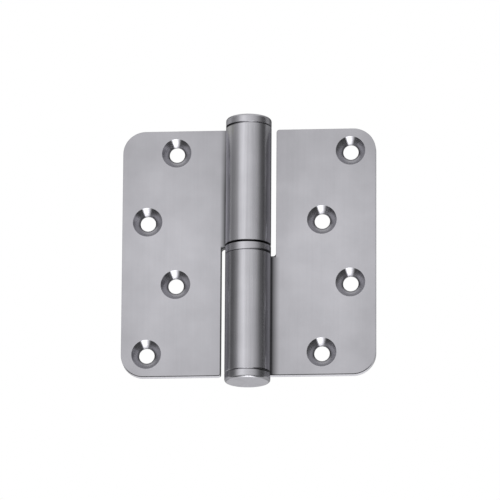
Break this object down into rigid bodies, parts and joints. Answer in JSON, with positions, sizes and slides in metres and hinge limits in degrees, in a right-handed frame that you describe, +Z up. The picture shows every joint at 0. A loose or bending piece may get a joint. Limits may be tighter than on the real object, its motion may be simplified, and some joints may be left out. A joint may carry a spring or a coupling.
{
  "type": "paumelle hinge",
  "caption": "Lift-off door hinge: flat round-cornered steel leaves with rolled knuckles on a fixed pin, a thrust ring between the knuckles, end caps and staggered countersunk screw holes.",
  "frame": {"origin": "on the pin axis at mid height, which is the centre of the bounding box of the hinge laid open flat", "axes": "+Z up along the pin axis, +X towards the frame leaf, countersunk faces towards -Y"},
  "size_m": [0.089, 0.016, 0.0952],
  "materials": {
    "leaf_steel": "fine satin brushing along the pin axis",
    "pin_steel": "ground and lightly oiled",
    "turned_steel": "fine turning marks"
  },
  "bodies": {
    "frame_side": {"frame_leaf": "leaf_steel", "hinge_pin": "pin_steel", "bottom_cap": "turned_steel"},
    "ring": {"thrust_ring": "turned_steel"},
    "door_side": {"door_leaf": "leaf_steel", "top_cap": "turned_steel"}
  },
  "joints": [
    {"name": "swing", "type": "hinge", "parent": "frame_side", "child": "ring", "pos_m": [0, 0, 0], "axis": [0, 0, 1], "range_deg": [-90, 180]},
    {"name": "lift_off", "type": "slide", "parent": "ring", "child": "door_side", "axis": [0, 0, 1], "range_m": [0, 0.04]}
  ]
}
